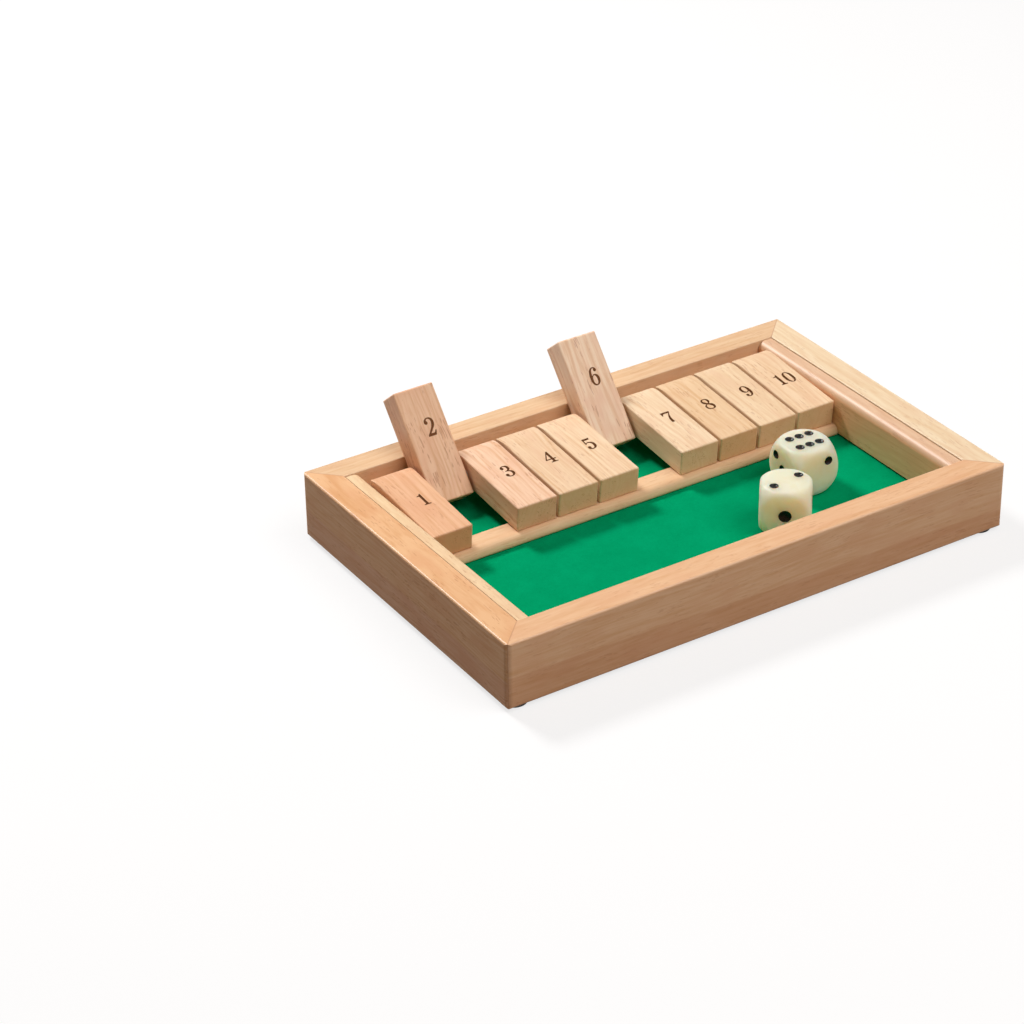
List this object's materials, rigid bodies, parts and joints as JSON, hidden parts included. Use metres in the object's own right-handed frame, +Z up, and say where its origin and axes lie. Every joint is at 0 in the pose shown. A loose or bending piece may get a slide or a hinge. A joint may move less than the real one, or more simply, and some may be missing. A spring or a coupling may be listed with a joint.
{
  "type": "shut the box game",
  "caption": "Wooden shut the box game: mitred case with a felt-lined dice tray, a row of numbered tiles hinged on one rod, and two rounded dice.",
  "frame": {"origin": "middle of the bounding box on the surface that the feet stand on; the two open tiles reach past the back rail, so the case's own middle is 1.1 mm in front of it", "axes": "+X along the row from tile 1 to tile 10, +Y from the player to the back rail, +Z up"},
  "size_m": [0.18, 0.1182, 0.0424],
  "materials": {
    "case_wood": "clear satin lacquer on pale tropical hardwood",
    "strip_wood": "clear satin lacquer",
    "tile_wood": "clear satin lacquer, printed black numbers",
    "plywood": "bare plywood",
    "felt": "green wool-like felt",
    "steel": "plain drawn wire",
    "pad": "soft dark pad",
    "die_plastic": "polished ivory-coloured plastic, black pips"
  },
  "bodies": {
    "case": {"front_rail": "case_wood", "back_rail": "case_wood", "left_rail": "case_wood", "right_rail": "case_wood", "base_panel": "plywood", "felt_sheet": "felt", "left_liner": "case_wood", "right_liner": "case_wood", "divider_strip": "strip_wood", "pivot_rod": "steel", "feet": "pad"},
    "tile_1": {"tile_1": "tile_wood"},
    "tile_2": {"tile_2": "tile_wood"},
    "tile_3": {"tile_3": "tile_wood"},
    "tile_4": {"tile_4": "tile_wood"},
    "tile_5": {"tile_5": "tile_wood"},
    "tile_6": {"tile_6": "tile_wood"},
    "tile_7": {"tile_7": "tile_wood"},
    "tile_8": {"tile_8": "tile_wood"},
    "tile_9": {"tile_9": "tile_wood"},
    "tile_10": {"tile_10": "tile_wood"},
    "die_front": {"die_front": "die_plastic"},
    "die_rear": {"die_rear": "die_plastic"}
  },
  "joints": [
    {"name": "tile_1_hinge", "type": "hinge", "parent": "case", "child": "tile_1", "pos_m": [-0.0675, 0.03613, 0.0175], "axis": [-1, 0, 0], "range_deg": [0, 134.85]},
    {"name": "tile_2_hinge", "type": "hinge", "parent": "case", "child": "tile_2", "pos_m": [-0.0525, 0.03613, 0.0175], "axis": [-1, 0, 0], "range_deg": [-134.85, 0]},
    {"name": "tile_3_hinge", "type": "hinge", "parent": "case", "child": "tile_3", "pos_m": [-0.0375, 0.03613, 0.0175], "axis": [-1, 0, 0], "range_deg": [0, 134.85]},
    {"name": "tile_4_hinge", "type": "hinge", "parent": "case", "child": "tile_4", "pos_m": [-0.0225, 0.03613, 0.0175], "axis": [-1, 0, 0], "range_deg": [0, 134.85]},
    {"name": "tile_5_hinge", "type": "hinge", "parent": "case", "child": "tile_5", "pos_m": [-0.0075, 0.03613, 0.0175], "axis": [-1, 0, 0], "range_deg": [0, 134.85]},
    {"name": "tile_6_hinge", "type": "hinge", "parent": "case", "child": "tile_6", "pos_m": [0.0075, 0.03613, 0.0175], "axis": [-1, 0, 0], "range_deg": [-134.85, 0]},
    {"name": "tile_7_hinge", "type": "hinge", "parent": "case", "child": "tile_7", "pos_m": [0.0225, 0.03613, 0.0175], "axis": [-1, 0, 0], "range_deg": [0, 134.85]},
    {"name": "tile_8_hinge", "type": "hinge", "parent": "case", "child": "tile_8", "pos_m": [0.0375, 0.03613, 0.0175], "axis": [-1, 0, 0], "range_deg": [0, 134.85]},
    {"name": "tile_9_hinge", "type": "hinge", "parent": "case", "child": "tile_9", "pos_m": [0.0525, 0.03613, 0.0175], "axis": [-1, 0, 0], "range_deg": [0, 134.85]},
    {"name": "tile_10_hinge", "type": "hinge", "parent": "case", "child": "tile_10", "pos_m": [0.0675, 0.03613, 0.0175], "axis": [-1, 0, 0], "range_deg": [0, 134.85]},
    {"name": "die_front_lift", "type": "slide", "parent": "case", "child": "die_front", "axis": [0, 0, 1], "range_m": [0, 0.06]},
    {"name": "die_rear_lift", "type": "slide", "parent": "case", "child": "die_rear", "axis": [0, 0, 1], "range_m": [0, 0.06]}
  ]
}
